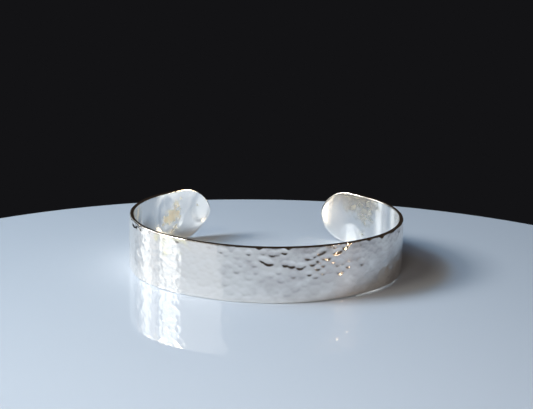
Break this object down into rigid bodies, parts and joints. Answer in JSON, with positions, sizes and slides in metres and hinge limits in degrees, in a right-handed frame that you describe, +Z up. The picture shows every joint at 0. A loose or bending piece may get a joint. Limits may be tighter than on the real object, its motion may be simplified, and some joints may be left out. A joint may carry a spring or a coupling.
{
  "type": "cuff bracelet",
  "caption": "Open oval cuff bracelet bent from one narrow strip of polished silver, with rounded ends and a hammered outer face.",
  "frame": {"origin": "under the middle of the cuff's outline, on the surface that its lower edge rests on", "axes": "+X along the longest width of the oval, +Y from the middle of the front towards the opening between the two ends, +Z up, along the height of the band"},
  "size_m": [0.063, 0.0512, 0.0127],
  "materials": {
    "silver": "polished silver, planished with a hammer on the outer face and smooth on the inner face"
  },
  "bodies": {
    "root": {"cuff_band": "silver"}
  },
  "joints": []
}
